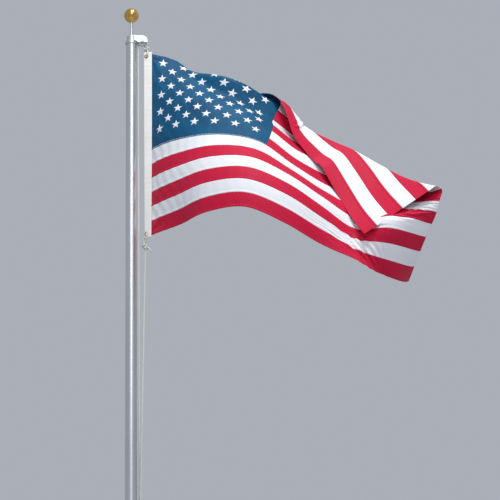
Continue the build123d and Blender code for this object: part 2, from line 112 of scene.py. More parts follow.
def shell_quads(rows, columns):
    """Two grids, front then back, and the four rims that join them."""
    front = grid_quads(rows, columns)
    back = grid_quads(rows, columns, rows * columns)[:, ::-1]
    index = np.arange(rows * columns).reshape(rows, columns)
    loop = np.concatenate([index[0, :], index[1:, -1], index[-1, -2::-1], index[-2:0:-1, 0]])
    next_loop = np.roll(loop, -1)
    far = rows * columns
    rim = np.stack([loop, next_loop, next_loop + far, loop + far], -1)
    return np.concatenate([front, back, rim])


print("a shell over 3 by 4 points has", len(shell_quads(3, 4)), "quads")

# %% Make a piece
weld_distance = 1e-6


def close_up(mesh):
    """Merge the points that lie on each other, at the seam and the poles of a grid that closes."""
    joined = bmesh.new()
    joined.from_mesh(mesh)
    bmesh.ops.remove_doubles(joined, verts=joined.verts, dist=weld_distance)
    joined.to_mesh(mesh)
    joined.free()


def add_piece(name, points, quads, finish, uv=None, merged=False):
    """A mesh object from arrays, at the origin, with its faces outwards, standing still with the pole."""
    points = np.asarray(points, float).reshape(-1, 3)
    if signed_volume(points, quads) < 0:
        quads = quads[:, ::-1]
    mesh = bpy.data.meshes.new(name)
    mesh.vertices.add(len(points))
    mesh.vertices.foreach_set("co", points.ravel())
    mesh.loops.add(quads.size)
    mesh.loops.foreach_set("vertex_index", quads.ravel().astype(np.int32))
    mesh.polygons.add(len(quads))
    mesh.polygons.foreach_set("loop_start", np.arange(0, quads.size, 4, dtype=np.int32))
    mesh.polygons.foreach_set("use_smooth", np.ones(len(quads), bool))
    if uv is not None:
        layer = mesh.uv_layers.new(name="lengths")
        layer.uv.foreach_set("vector", np.asarray(uv, float).reshape(-1, 2)[quads.ravel()].ravel())
    mesh.update(calc_edges=True)
    if merged:
        close_up(mesh)
    mesh.validate()
    piece = bpy.data.objects.new(name, mesh)
    bpy.context.collection.objects.link(piece)
    mesh.materials.append(finishes[finish])
    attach(piece, "pole")
    print(name, len(quads), "quads")
    return piece


# %% [markdown]
# Smooth lines and surfaces go through evenly spaced points. The Catmull-Rom cubic is used for all of
# them, because it passes through its points, so that moving one of them does what is expected. A net is a
# grid of points over the flat cloth, and looking one up between its points gives a smooth surface.

# %% Smooth surfaces through a net of points
def cubic_weights(x):
    """The four weights of the Catmull-Rom cubic at a share x of the span between its two middle points."""
    return 0.5 * np.stack([
        -x + 2 * x**2 - x**3,
        2 - 5 * x**2 + 3 * x**3,
        x + 4 * x**2 - 3 * x**3,
        -(x**2) + x**3,
    ], -1)


def padded(net):
    """The net with one more row at each end, which continues it as a parabola."""
    before = 3 * net[:1] - 3 * net[1:2] + net[2:3]
    after = 3 * net[-1:] - 3 * net[-2:-1] + net[-3:-2]
    return np.concatenate([before, net, after])


def look_up(net, rows, columns):
    """Points of the smooth surface through a net, at places counted in rows and columns of the net."""
    full = np.swapaxes(padded(np.swapaxes(padded(net), 0, 1)), 0, 1)
    first_row = np.clip(np.floor(rows).astype(int), 0, net.shape[0] - 2)
    first_column = np.clip(np.floor(columns).astype(int), 0, net.shape[1] - 2)
    row_weights = cubic_weights(rows - first_row)
    column_weights = cubic_weights(columns - first_column)
    total = 0
    for i in range(4):
        for j in range(4):
            weight = row_weights[..., i] * column_weights[..., j]
            total = total + weight[..., None] * full[first_row + i, first_column + j]
    return total


def ease(x):
    """0 below 0, 1 above 1, and a smooth rise between."""
    x = np.clip(x, 0, 1)
    return x * x * (3 - 2 * x)


def unit(vectors):
    """Vectors scaled to length one."""
    return vectors / np.linalg.norm(vectors, axis=-1, keepdims=True)


print("weights half way", cubic_weights(np.array(0.5)))

# %% [markdown]
# The flag is cut 1.524 m by 0.914 m and sewn to a canvas heading. The wind gives it one large wave, and its
# upper fly corner is blown forward and lies folded over the front. The shape could be simulated, but then
# it would not be this flag at this moment, so it is drawn and then relaxed. The drawing is five lines along
# the fly, evenly spaced down the hoist. Each goes in eight straight steps of one length, so that it cannot
# stretch, and a step is set by two angles in degrees: how far it turns away from the front, and how far
# it falls. The heading is twisted a little about its grommets, and the cloth starts from its edge.
# The angles started as the result of a least-squares fit to places measured in one photograph. They were
# then set to multiples of five degrees, most of them next to the fit, and the lowest line further from it.

# %% The flag's sizes
fly, hoist = 1.524, 0.914
stripe = hoist / 13
canton_fly, canton_hoist = 0.6096, 7 * stripe
heading_box = [np.array(corner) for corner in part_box("flag_heading")]
heading_left, heading_right = heading_box[0][0], heading_box[1][0]
heading_past_cloth = 0.010
flag_top = heading_box[1][2] - heading_past_cloth
grommet_names = ("upper_grommet", "lower_grommet")
grommet_boxes = {name: [np.array(corner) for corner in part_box(name)] for name in grommet_names}
grommet_x = sum(corner[0] for corner in grommet_boxes["upper_grommet"]) / 2
print("stripe", round(stripe, 4), "m, flag's top at", round(flag_top, 3), "m")

# %% A net of points over the flat cloth
net_step = 0.008
net_u = np.linspace(0, fly, round(fly / net_step) + 1)
net_v = np.linspace(0, hoist, round(hoist / net_step) + 1)
flat_u, flat_v = np.meshgrid(net_u, net_v, indexing="ij")
print("net of", flat_u.shape, "points")


def front_normals(net):
    """Unit normals of a net, on the side that is the cloth's front."""
    return unit(np.cross(np.gradient(net, axis=1), np.gradient(net, axis=0)))


def on_net(net, u, v):
    """Points of the smooth surface through a net at flat places u along the fly and v down the hoist."""
    return look_up(net, u / net_u[1], v / net_v[1])


def reshape(net, u, v, lift):
    """Each point is taken from another flat place of the net, and lifted off its front."""
    return on_net(net, u, v) + on_net(front_normals(net), u, v) * lift[..., None]


def print_reach(what, net):
    """The two corners of the box round a net."""
    print(what, "from", net.min((0, 1)).round(3), "to", net.max((0, 1)).round(3))


# %% Draw the cloth
cloth_steps = (
    ((10, 15), (20, 35), (35, 60), (20, 35), (0, -25), (-15, 20), (10, 25), (0, -5)),
    ((-30, 5), (-5, 10), (10, 25), (20, 30), (5, 10), (-10, 20), (-20, 20), (-20, 5)),
    ((-45, 0), (-25, 5), (-5, 15), (20, 30), (25, 20), (0, 20), (-30, 15), (-40, 10)),
    ((-55, 0), (-45, 0), (-20, 5), (10, 20), (25, 25), (25, 25), (-35, 10), (25, 5)),
    ((-50, 0), (-55, 0), (-25, 0), (10, 20), (25, 20), (15, 20), (30, 20), (60, -10)),
)
line_count, step_count = len(cloth_steps), len(cloth_steps[0])
band_turn, band_turn_added = 5, 30
meets_band_over = 0.25


def heading_turn(down):
    """The band's turn about its grommet line, from the top of the flag down: a straight change of angle."""
    return -np.radians(band_turn + band_turn_added * np.clip(down / hoist, 0, 1))


def step_direction(turn, fall):
    """The unit vector along the fly, turned away from the front by one angle and falling by the other."""
    return np.stack([np.cos(turn) * np.cos(fall), np.sin(turn) * np.cos(fall), -np.sin(fall)], -1)


def drawn_cloth():
    """The five lines as running sums of their steps, and the smooth surface through their corners."""
    turn, fall = np.moveaxis(np.radians(np.array(cloth_steps, float)), -1, 0)
    places = np.cumsum(step_direction(turn, fall) * fly / step_count, axis=1)
    lines = np.concatenate([np.zeros((line_count, 1, 3)), places], axis=1)
    down = np.arange(line_count)[:, None, None] * [0, 0, hoist / (line_count - 1)]
    lines += np.array([heading_right, 0, flag_top]) - down
    net = look_up(np.swapaxes(lines, 0, 1), flat_u / fly * step_count, flat_v / hoist * (line_count - 1))
    edge, turned = heading_right - grommet_x, heading_turn(flat_v)
    start = np.stack([edge * np.cos(turned) - edge, edge * np.sin(turned), 0 * flat_v], -1)
    return net + start * (1 - ease(flat_u / meets_band_over))[..., None]


cloth_net = drawn_cloth()
print_reach("drawn cloth", cloth_net)

# %% [markdown]
# Two bends are added to the drawing. Above a curved crease the cloth leans forward, so that it hangs over
# and is less lit. Above a crest the top edge curls away to the back. Both lines leave the top edge near the
# hoist and level out further along. A bend is a round arc and then a straight rest: the arc's length
# and the rest give each point's reach past the line and its lift, and neither stretches the cloth. More
# lines in the drawing could show the bends too, but each of their points would have to be placed.

# %% Bend the cloth
def bend(past, radius, angle):
    """Reach and lift of cloth at a distance past a line, bent there by an angle over an arc of a radius."""
    arc = radius * angle
    from_start = past + arc / 2
    turn = np.clip(from_start / radius, 0, angle)
    rest = np.maximum(from_start - arc, 0)
    reach = radius * np.sin(turn) + rest * np.cos(angle) - arc / 2
    lift = radius * (1 - np.cos(turn)) + rest * np.sin(angle)
    return np.where(from_start > 0, reach, past), np.where(from_start > 0, lift, 0)


def levelling(start, depth, run):
    """Depth of a line that leaves the top edge at a start, and nears its full depth exponentially."""
    return depth * (1 - np.exp(-np.maximum(flat_u - start, 0) / run))


def bend_above(net, line, radius, angle, side):
    """Everything above a line is bent: side 1 bends it to the front, and side -1 to the back."""
    above = line - flat_v
    reach, lift = bend(above, radius, angle)
    return reshape(net, flat_u, flat_v - (reach - above), side * lift)


def rising(start, run):
    """0 up to a start along the fly, 1 from one run further on, and a smooth rise between."""
    return ease((flat_u - start) / run)


leave_top = 0.13
crease_depth, crease_run, lean_angle, lean_radius = 0.23, 0.13, math.radians(65), 0.025
crest_depth, crest_run, curl_angle, curl_radius = 0.11, 0.09, math.radians(105), 0.018
lean_sets_in, lean_fades = (0.10, 0.20), (0.70, 0.45)
curl_sets_in, curl_fades = (0.10, 0.12), (0.50, 0.14)
lean = lean_angle * rising(*lean_sets_in) * (1 - rising(*lean_fades))
cloth_net = bend_above(cloth_net, levelling(leave_top, crease_depth, crease_run), lean_radius, lean, 1)
curl = curl_angle * rising(*curl_sets_in) * (1 - rising(*curl_fades))
cloth_net = bend_above(cloth_net, levelling(leave_top, crest_depth, crest_run), curl_radius, curl, -1)
print_reach("bent cloth", cloth_net)

# %% [markdown]
# Beyond a third line, a straight one, the cloth is folded right over the front, and the corner hangs
# down as a panel. It goes round a roll that widens towards the fly end, and from there each line square
# to the fold runs straight. Its direction is given at five places along the fold, in the same two
# angles as before, and it sets in softly, so that there is no kink behind the roll. A simulated corner
# would fall where it likes, and this one lies where it is wanted. The fold's place and the panel's
# directions are rounded from the same fit as the lines.

# %% Fold the corner over
fold_start, fold_drop, roll_start, roll_end = 0.43, 0.415, 0.012, 0.020
panel_directions = ((260, -35), (235, 0), (205, 35), (190, 45), (185, 45))
setting_in = 0.05


def panel_direction(share):
    """The panel's direction at a share of the fold's length, smooth through the five that are given.

    A net needs three columns, so the angles are repeated and looked up in the middle one.
    """
    angles = np.repeat(np.radians(np.array(panel_directions, float))[:, None], 3, axis=1)
    place = np.clip(share, 0, 1) * (len(panel_directions) - 1)
    return step_direction(*np.moveaxis(look_up(angles, place, np.ones_like(share)), -1, 0))


def from_line(start, slope):
    """Distances past a line that falls from the top edge, and along it."""
    past = (flat_u - start) * math.sin(slope) - flat_v * math.cos(slope)
    along = (flat_u - start) * math.cos(slope) + flat_v * math.sin(slope)
    return past, along


def fold_over(net):
    """Cloth past the fold goes half a turn round the roll, from its foot on the net, and then hangs."""
    slope = math.atan2(fold_drop, fly - fold_start)
    past, along = from_line(fold_start, slope)
    share = along / math.hypot(fold_drop, fly - fold_start)
    radius = roll_start + (roll_end - roll_start) * np.clip(share, 0, 1)
    foot_u = np.clip(fold_start + along * math.cos(slope) - math.pi / 2 * radius * math.sin(slope), 0, fly)
    foot_v = np.clip(along * math.sin(slope) + math.pi / 2 * radius * math.cos(slope), 0, hoist)
    normal = on_net(front_normals(net), foot_u, foot_v)
    ahead = np.gradient(net, axis=0) * math.sin(slope) - np.gradient(net, axis=1) * math.cos(slope)
    ahead = on_net(ahead, foot_u, foot_v)
    ahead = unit(ahead - normal * np.sum(ahead * normal, -1, keepdims=True))
    turn = np.clip(past / radius + math.pi / 2, 0, math.pi)[..., None]
    rest = np.maximum(past - math.pi / 2 * radius, 0)[..., None]
    hanging = panel_direction(share)
    soft = setting_in * (1 - np.exp(-rest / setting_in))
    rolled = radius[..., None] * (np.sin(turn) * ahead + (1 - np.cos(turn)) * normal)
    panel = on_net(net, foot_u, foot_v) + rolled + hanging * (rest - soft) - ahead * soft
    return np.where(turn > 0, panel, net)


cloth_net = fold_over(cloth_net)
print_reach("folded cloth", cloth_net)

# %% [markdown]
# Drawn cloth is stretched here and squeezed there by a few percent, which real cloth cannot be. So the
# net is relaxed: each edge of it is brought back to its length in the flat cloth, over and over, while
# the points are held softly to the drawing. Where there is too much cloth, it buckles into small
# folds by itself, as it does on the real flag. Woven cloth is stiff along its threads and gives on the
# bias, so the diagonals are corrected less than the rows and columns.

# %% Relax the cloth to its true lengths
relax_turns = 160
thread_share, bias_share = 0.5, 0.2
hold_share, smooth_share = 0.03, 0.3
least_length = 1e-9


def bring_back(points, first, second, length, share):
    """Move both ends of each edge along it by their share of its error."""
    edge = points[second] - points[first]
    size = np.linalg.norm(edge, axis=-1, keepdims=True)
    move = edge * (share * (size - length) / np.maximum(size, least_length))
    points[first] += move
    points[second] -= move


def relax(points, target):
    """Restore the lengths of rows, columns and diagonals, smoothed and held softly to a target."""
    step_u, step_v = net_u[1], net_v[1]
    slash = math.hypot(step_u, step_v)
    everything = slice(None)
    for _ in range(relax_turns):
        for start in (0, 1):
            near, far = slice(start, -1, 2), slice(start + 1, None, 2)
            bring_back(points, (near, everything), (far, everything), step_u, thread_share)
            bring_back(points, (everything, near), (everything, far), step_v, thread_share)
            bring_back(points, (near, slice(0, -1)), (far, slice(1, None)), slash, bias_share)
            bring_back(points, (near, slice(1, None)), (far, slice(0, -1)), slash, bias_share)
        inner = points[1:-1, 1:-1]
        around = (points[:-2, 1:-1] + points[2:, 1:-1] + points[1:-1, :-2] + points[1:-1, 2:]) / 4
        inner += smooth_share * (around - inner)
        points += hold_share * (target - points)
        points[0] = target[0]
    return points


drawn_net = cloth_net
cloth_net = relax(drawn_net.copy(), drawn_net)
stretch = np.linalg.norm(np.diff(cloth_net, axis=0), axis=-1) / net_u[1]
print("stretch along the fly", np.percentile(stretch, (1, 99)).round(3))
print("moved by the relaxing, at most", np.abs(cloth_net - drawn_net).max().round(3), "m")


def cloth(u, v):
    """A point of the relaxed cloth."""
    return on_net(cloth_net, u, v)


def facing(surface, u, v, step=0.002):
    """The unit normal of a surface, on the side that is its front."""
    along = surface(u + step, v) - surface(u - step, v)
    down = surface(u, v + step) - surface(u, v - step)
    return unit(np.cross(down, along))


# %% [markdown]
# A finish here is a small tree of nodes in front of one shader. What is the same all over is set on the
# shader's own sockets. Only what varies, which is grain, weave, stitches and wear, goes through nodes.
# The helper below adds one node and wires or sets its inputs in one call, which keeps each tree readable.

# %% Node helpers
def new_finish(name, **settings):
    """A material with one shader, whose sockets take the settings given by name."""
    finish = bpy.data.materials.new(name)
    finish.use_nodes = True
    shader = finish.node_tree.nodes["Principled BSDF"]
    for socket, value in settings.items():
        shader.inputs[socket.replace("_", " ")].default_value = value
    return finish, finish.node_tree, shader


def node(tree, kind, inputs=None, **options):
    """A node with its options set, and each input either linked to a socket or given a value."""
    made = tree.nodes.new("ShaderNode" + kind)
    for option, value in options.items():
        setattr(made, option, value)
    for socket, value in (inputs or {}).items():
        if isinstance(value, bpy.types.NodeSocket):
            tree.links.new(value, made.inputs[socket])
        else:
            made.inputs[socket].default_value = value
    return made


def sum_up(tree, operation, *values):
    """One Math node: values are sockets or numbers, in order."""
    return node(tree, "Math", dict(enumerate(values)), operation=operation).outputs[0]


def stretched_noise(tree, scale, source="Object", size=1.0, detail=3.0):
    """Noise over Object coordinates or the UV map, stretched by a scale for each axis."""
    place = node(tree, "TexCoord").outputs[source]
    spread = node(tree, "Mapping", {"Vector": place, "Scale": scale}).outputs[0]
    return node(tree, "TexNoise", {"Vector": spread, "Scale": size, "Detail": detail}).outputs["Fac"]


def remap(tree, value, low, high, to_low, to_high):
    """A value carried from one range to another, and held inside it."""
    inputs = {"Value": value, "From Min": low, "From Max": high, "To Min": to_low, "To Max": to_high}
    return node(tree, "MapRange", inputs).outputs[0]


def blend_colours(tree, share, first, second):
    """The first colour where the share is 0, the second where it is 1."""
    mixed = node(tree, "Mix", data_type="RGBA")
    for place, value in ((0, share), (6, first), (7, second)):
        if isinstance(value, bpy.types.NodeSocket):
            tree.links.new(value, mixed.inputs[place])
        else:
            mixed.inputs[place].default_value = value
    return mixed.outputs[2]


def raise_surface(tree, shader, height, distance, strength=1.0):
    """Bump: the height, from 0 to 1, is worth the distance in metres."""
    inputs = {"Height": height, "Distance": distance, "Strength": strength}
    tree.links.new(node(tree, "Bump", inputs).outputs[0], shader.inputs["Normal"])


def paint(red, green, blue):
    """A colour from its values of 0 to 255 as they look on a screen, made linear."""
    share = np.array([red, green, blue]) / 255
    linear = np.where(share > 0.04045, ((share + 0.055) / 1.055) ** 2.4, share / 12.92)
    return (*linear.tolist(), 1.0)


print("half grey on a screen is", round(paint(128, 128, 128)[0], 3), "of the light")

# %% [markdown]
# The pole and its fittings are aluminium. The tube is ground by a belt while it turns, so its grain runs
# round it in fine rings, with a few longer streaks where rain has run down. The castings are bead blasted
# and a little rougher. The sheave is moulded from natural nylon. Grain could be a photograph of brushed
# metal, but noise stretched along one axis costs nothing and never repeats.

# %% Metal and nylon finishes
grain_share, patch_share = 0.45, 0.55
patch_scale = (9, 9, 1.6)
tone_range, gloss_range = (0.35, 0.65), (0.3, 0.7)


def metal_finish(name, dark, light, smooth, rough, grain, relief):
    """Metal whose colour and gloss vary with stretched noise, with a fine relief along the same grain."""
    finish, tree, shader = new_finish(name, Metallic=1.0)
    fine = stretched_noise(tree, grain)
    patches = stretched_noise(tree, patch_scale, detail=4.0)
    fine_part = sum_up(tree, "MULTIPLY", fine, grain_share)
    both = sum_up(tree, "ADD", fine_part, sum_up(tree, "MULTIPLY", patches, patch_share))
    colour = blend_colours(tree, remap(tree, both, *tone_range, 0.0, 1.0), paint(*dark), paint(*light))
    tree.links.new(colour, shader.inputs["Base Color"])
    tree.links.new(remap(tree, both, *gloss_range, rough, smooth), shader.inputs["Roughness"])
    raise_surface(tree, shader, fine, relief)
    return finish


# Each metal: dark and light colour, least and most roughness, grain to the metre, relief in metres.
metals = {
    "pole": ((196, 199, 204), (226, 228, 231), 0.27, 0.42, (7, 7, 1900), 0.00003),
    "casting": ((188, 191, 196), (222, 224, 227), 0.38, 0.55, (900, 900, 900), 0.00006),
    "steel": ((150, 152, 158), (196, 198, 202), 0.22, 0.38, (500, 500, 60), 0.00002),
    "gilt": ((190, 140, 58), (248, 212, 128), 0.20, 0.32, (60, 60, 60), 0.00002),
    "brass": ((150, 116, 62), (214, 180, 110), 0.24, 0.42, (700, 700, 700), 0.00003),
}
finishes = {name: metal_finish(name, *settings) for name, settings in metals.items()}
fresh_nylon, scuffed_nylon = paint(216, 218, 220), paint(168, 170, 174)


def nylon_finish():
    """Moulded natural nylon: a dull pale plastic with a fine grain and darker scuffs."""
    finish, tree, shader = new_finish("sheave", Specular_IOR_Level=0.4)
    fine = stretched_noise(tree, (1400, 1400, 1400))
    scuffs = stretched_noise(tree, (160, 160, 160), detail=6.0)
    colour = blend_colours(tree, remap(tree, scuffs, 0.5, 0.75, 0.0, 1.0), fresh_nylon, scuffed_nylon)
    tree.links.new(colour, shader.inputs["Base Color"])
    tree.links.new(remap(tree, scuffs, 0.3, 0.7, 0.4, 0.62), shader.inputs["Roughness"])
    raise_surface(tree, shader, fine, 0.00004)
    return finish


finishes["sheave"] = nylon_finish()
print("hard finishes", sorted(finishes))

# %% [markdown]
# The rope is braided polyester. Its strands cross in diamonds, which run round the rope and along it, so
# the pattern needs the rope's own map: the first number goes round it and the second along it, in metres.
# Two families of slanted ridges, one for each hand of the braid, are multiplied, which leaves the
# diamonds. Strands modelled one by one would be truer, but far too many faces for eight metres of rope.

# %% Rope finish
rope_radius = 0.004
braid_pick = 0.0045
braid_turns = 4
# The grey for the grooves is painted shade for the hollows between the strands.
clean_rope, soiled_rope, painted_groove_shade = paint(240, 240, 238), paint(202, 199, 190), paint(150, 149, 146)


def slanted_ridges(tree, across, along, hand):
    """A ridge for each strand of one hand: a sine of the turns round the rope plus or minus its length."""
    turn = sum_up(tree, "MULTIPLY", across, braid_turns * math.tau)
    run = sum_up(tree, "MULTIPLY", along, hand * math.tau / braid_pick)
    return sum_up(tree, "ABSOLUTE", sum_up(tree, "SINE", sum_up(tree, "ADD", turn, run)))


def rope_finish():
    """White braid, with painted shade in the grooves between its strands, and weathered in patches."""
    finish, tree, shader = new_finish("rope", Roughness=0.72, Sheen_Weight=0.25)
    parts = node(tree, "SeparateXYZ", {"Vector": node(tree, "TexCoord").outputs["UV"]}).outputs
    left = slanted_ridges(tree, parts["X"], parts["Y"], 0.5)
    right = slanted_ridges(tree, parts["X"], parts["Y"], -0.5)
    height = sum_up(tree, "MULTIPLY", left, right)
    soil = stretched_noise(tree, (14, 14, 3), detail=4.0)
    cord = blend_colours(tree, remap(tree, soil, 0.4, 0.7, 0.0, 0.5), clean_rope, soiled_rope)
    # Painted shade: the low parts of the braid, the grooves between strands, are coloured grey.
    colour = blend_colours(tree, remap(tree, height, 0.0, 0.4, 0.0, 1.0), painted_groove_shade, cord)
    tree.links.new(colour, shader.inputs["Base Color"])
    raise_surface(tree, shader, height, 0.0006)
    return finish


finishes["rope"] = rope_finish()
print("braid", braid_turns, "strands to each hand, pick", braid_pick * 1000, "mm")

# %% [markdown]
# The flag is woven nylon, and its seams are felled: each stripe's lower edge laps the next one, and two
# rows of lock stitch hold the lap. The weave and the stitches are far finer than the mesh, so they are
# made in the material, from the piece's own map in metres: the first number runs along the fly and the
# second is the height over the piece's lower edge. The raised lap itself is in the mesh.

# %% Cloth finish
thread_pitch = 0.0011
lap_width = 0.009
stitch_pitch = 0.0032
stitch_gap = 0.24
stitch_rows = (0.0022, 0.0068)


def stitch_mask(tree, along, across, rows, width=0.0009):
    """1 on a stitch: near one of the rows, and past the gap at the start of each stitch's pitch."""
    dash = sum_up(tree, "FRACT", sum_up(tree, "DIVIDE", along, stitch_pitch))
    dash = sum_up(tree, "GREATER_THAN", dash, stitch_gap)
    near = None
    for row in rows:
        here = sum_up(tree, "COMPARE", across, row, width / 2)
        near = here if near is None else sum_up(tree, "MAXIMUM", near, here)
    return sum_up(tree, "MULTIPLY", dash, near)


def cloth_finish(name, colour, faded, thread, hem_rows=(), rough=0.62):
    """Plain-woven nylon: threads over and under each other, stitch rows, and soft fading."""
    finish, tree, shader = new_finish(name, Sheen_Weight=0.03, Sheen_Roughness=0.45, Roughness=rough)
    shader.inputs["Specular IOR Level"].default_value = 0.22
    place = node(tree, "TexCoord").outputs["UV"]
    parts = node(tree, "SeparateXYZ", {"Vector": place}).outputs
    warp = sum_up(tree, "SINE", sum_up(tree, "MULTIPLY", parts["X"], math.tau / thread_pitch))
    weft = sum_up(tree, "SINE", sum_up(tree, "MULTIPLY", parts["Y"], math.tau / thread_pitch))
    weave = remap(tree, sum_up(tree, "MULTIPLY", warp, weft), -1.0, 1.0, 0.0, 0.4)
    stitches = stitch_mask(tree, parts["X"], parts["Y"], stitch_rows)
    if hem_rows:
        stitches = sum_up(tree, "MAXIMUM", stitches, stitch_mask(tree, parts["Y"], parts["X"], hem_rows))
    soft = stretched_noise(tree, (5, 9, 1), source="UV", detail=3.0)
    slubs = stretched_noise(tree, (60, 900, 1), source="UV", detail=2.0)
    tone = sum_up(tree, "ADD", sum_up(tree, "MULTIPLY", soft, 0.7), sum_up(tree, "MULTIPLY", slubs, 0.3))
    ground = blend_colours(tree, remap(tree, tone, 0.35, 0.68, 0.0, 1.0), paint(*colour), paint(*faded))
    tree.links.new(blend_colours(tree, stitches, ground, thread), shader.inputs["Base Color"])
    height = sum_up(tree, "ADD", weave, sum_up(tree, "MULTIPLY", stitches, 0.6))
    raise_surface(tree, shader, height, 0.00035, 0.6)
    return finish


fly_hem = 0.024
hem_rows = tuple(fly - share * fly_hem for share in (0.1, 0.37, 0.63, 0.9))
heading_rows = (0.003, 0.0085, 0.029, 0.035)
canvas_roughness = 0.8
white_thread, red_thread = paint(250, 250, 252), paint(170, 18, 48)
# Each cloth: colour, faded colour, thread, then any rows of stitches across the fly and the roughness.
cloths = {
    "red_cloth": ((198, 12, 56), (208, 20, 66), red_thread, hem_rows),
    "white_cloth": ((232, 234, 240), (243, 244, 247), white_thread, hem_rows),
    "blue_cloth": ((0, 70, 108), (2, 94, 136), white_thread),
    "star_cloth": ((234, 236, 242), (246, 246, 249), white_thread),
    "heading": ((238, 236, 230), (248, 248, 246), white_thread, heading_rows, canvas_roughness),
}
finishes.update({name: cloth_finish(name, *settings) for name, settings in cloths.items()})
print("finishes", sorted(finishes))

# %% [markdown]
# The tube, the castings, the ball, the screws and the sheave are hard and right as they were built. They
# could be modelled again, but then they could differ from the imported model, so they only take finishes.

# %% Dress the fittings
fitting_finishes = {
    "pole": ["pole_tube", "finial_spindle", "finial_neck"],
    "casting": ["shoe_base", "truck", "cleat"],
    "steel": ["shoe_screws", "truck_screws", "cleat_screws", "sheave_pin"],
    "sheave": ["sheave"],
    "gilt": ["finial_ball"],
}
for slot_name, nodes in fitting_finishes.items():
    for name in nodes:
        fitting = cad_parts[name].data
        fitting.materials.clear()
        fitting.materials.append(finishes[slot_name])
        fitting.polygons.foreach_set("material_index", np.zeros(len(fitting.polygons), np.int32))
print("dressed", sum(len(nodes) for nodes in fitting_finishes.values()), "fittings")

# %% [markdown]
# Real cloth is never quite smooth: thread draws the seams up into puckers, the two grommets pull rays into
# it, and wind drags slanted lines from the heading. A bump in the material would be cheaper, but it would
# not catch the light at the edge of a fold, so these creases are added to the surface along its normal.

# %% Creases
pucker_height, pucker_spread, pucker_length = 0.0004, 0.012, 0.0026
ray_height, ray_reach, ray_count, ray_grows_over = 0.003, 0.10, 9, 0.05
grommet_inset, grommet_behind = 0.012, 0.02
drag_height, drag_reach, drag_length, drag_slant = 0.0011, 0.30, 0.0085, 0.42
held_flat = 0.01


def creases(u, v):
    """Height over the smooth cloth: puckers, rays and drag lines, each a sine that fades from its source.

    A slower sine inside each sine bends its crests, so that they don't run like a ruled pattern.
    """
    from_seam = np.abs((v + stripe / 2) % stripe - stripe / 2)
    pucker = pucker_height * np.exp(-((from_seam / pucker_spread) ** 2))
    pucker = pucker * np.sin(u / pucker_length + 3 * np.sin(u / 0.041 + v * 9))
    rays = 0
    for corner in (grommet_inset, hoist - grommet_inset):
        reach = np.hypot(u + grommet_behind, v - corner)
        angle = np.arctan2(v - corner, u + grommet_behind)
        ray = ray_height * np.exp(-reach / ray_reach) * np.sin(ray_count * angle + 1.0)
        rays = rays + ray * np.minimum(reach / ray_grows_over, 1)
    drag = drag_height * np.exp(-u / drag_reach)
    drag = drag * np.sin((u - drag_slant * v) / drag_length + 2 * np.sin(v / 0.05 + u / 0.13))
    return (pucker + rays + drag) * np.clip(u / held_flat, 0, 1)


def sewn_cloth(u, v):
    """The relaxed cloth with its creases."""
    return cloth(u, v) + facing(cloth, u, v) * creases(u, v)[:, None]


print("creases stand up to", round(creases(flat_u, flat_v).max() * 1000, 2), "mm off the cloth")

# %% [markdown]
# Each stripe is its own strip of cloth, and so is the canton. A strip is a closed thin shell: the same
# grid of points, pushed out to both sides by half the cloth's thickness, and more along the lap at its
# lower edge. A Solidify modifier would give one thickness all over, without the lap.

# %% Sew the strips
cloth_half = 0.0003
lap_half = 0.0009
lap_places = np.array([0.12, 0.5, 0.88, 1.0])
edge_taper, edge_share = 0.0008, 0.3
grid_step = 0.004


def cloth_strip(name, u_range, v_range, finish, node_name):
    """A closed shell over a rectangle of the flat cloth, thicker along the lap at its lower edge."""
    u = np.linspace(*u_range, round((u_range[1] - u_range[0]) / grid_step) + 1)
    height = v_range[1] - v_range[0]
    plain = np.linspace(0, height - lap_width, max(3, round(height / grid_step)))
    v = v_range[0] + np.concatenate([plain, height - lap_width + lap_width * lap_places])
    grid_u, grid_v = (g.ravel() for g in np.meshgrid(u, v, indexing="ij"))
    middle, normal = sewn_cloth(grid_u, grid_v), facing(sewn_cloth, grid_u, grid_v)
    up_from_edge = v_range[1] - grid_v
    raised = np.clip((lap_width - up_from_edge) / (lap_places[0] * lap_width), 0, 1)
    raised = raised * np.clip(up_from_edge / edge_taper + edge_share, 0, 1)
    half = (cloth_half + (lap_half - cloth_half) * raised)[:, None]
    points = np.concatenate([middle + normal * half, middle - normal * half])
    lengths = np.stack([grid_u, up_from_edge], -1)
    piece = add_piece(name, points, shell_quads(len(u), len(v)), finish, np.concatenate([lengths, lengths]))
    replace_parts(piece, node_name)
    return piece


canton = cloth_strip("canton", (0, canton_fly), (0, canton_hoist), "blue_cloth", "flag_canton")
for number in range(1, 14):
    start = canton_fly if number <= 7 else 0.0
    name = f"stripe_{number:02d}"
    finish = "red_cloth" if number % 2 else "white_cloth"
    span = ((number - 1) * stripe, number * stripe)
    strip = cloth_strip(name, (start, fly), span, finish, f"flag_{name}")

# %% [markdown]
# The stars are appliqued on both sides, fifty to a side, in nine rows of six and five by turns. They could
# be drawn by the material, but sewn stars stand a millimetre off the cloth and have an edge that shows.
# Seen from its middle, a star's outline is a straight line between a tip and a notch, and that line
# gives its radius at each angle. Each star is a low closed cap that follows the cloth.

# %% Stars
star_radius = 0.0245
star_notch = star_radius * 0.40
first_star = np.array([0.053, 0.042])
star_spacing = np.array([0.0483, 0.0452])
clear_of_stitches = 0.03


def star_outline(angle):
    """Radius of a five-pointed star at an angle: the straight line from a tip to the next notch."""
    fifth = math.tau / 5
    from_tip = np.abs((angle + fifth / 2) % fifth - fifth / 2)
    across = star_radius * np.sin(from_tip) + star_notch * np.sin(fifth / 2 - from_tip)
    return star_radius * star_notch * math.sin(fifth / 2) / across


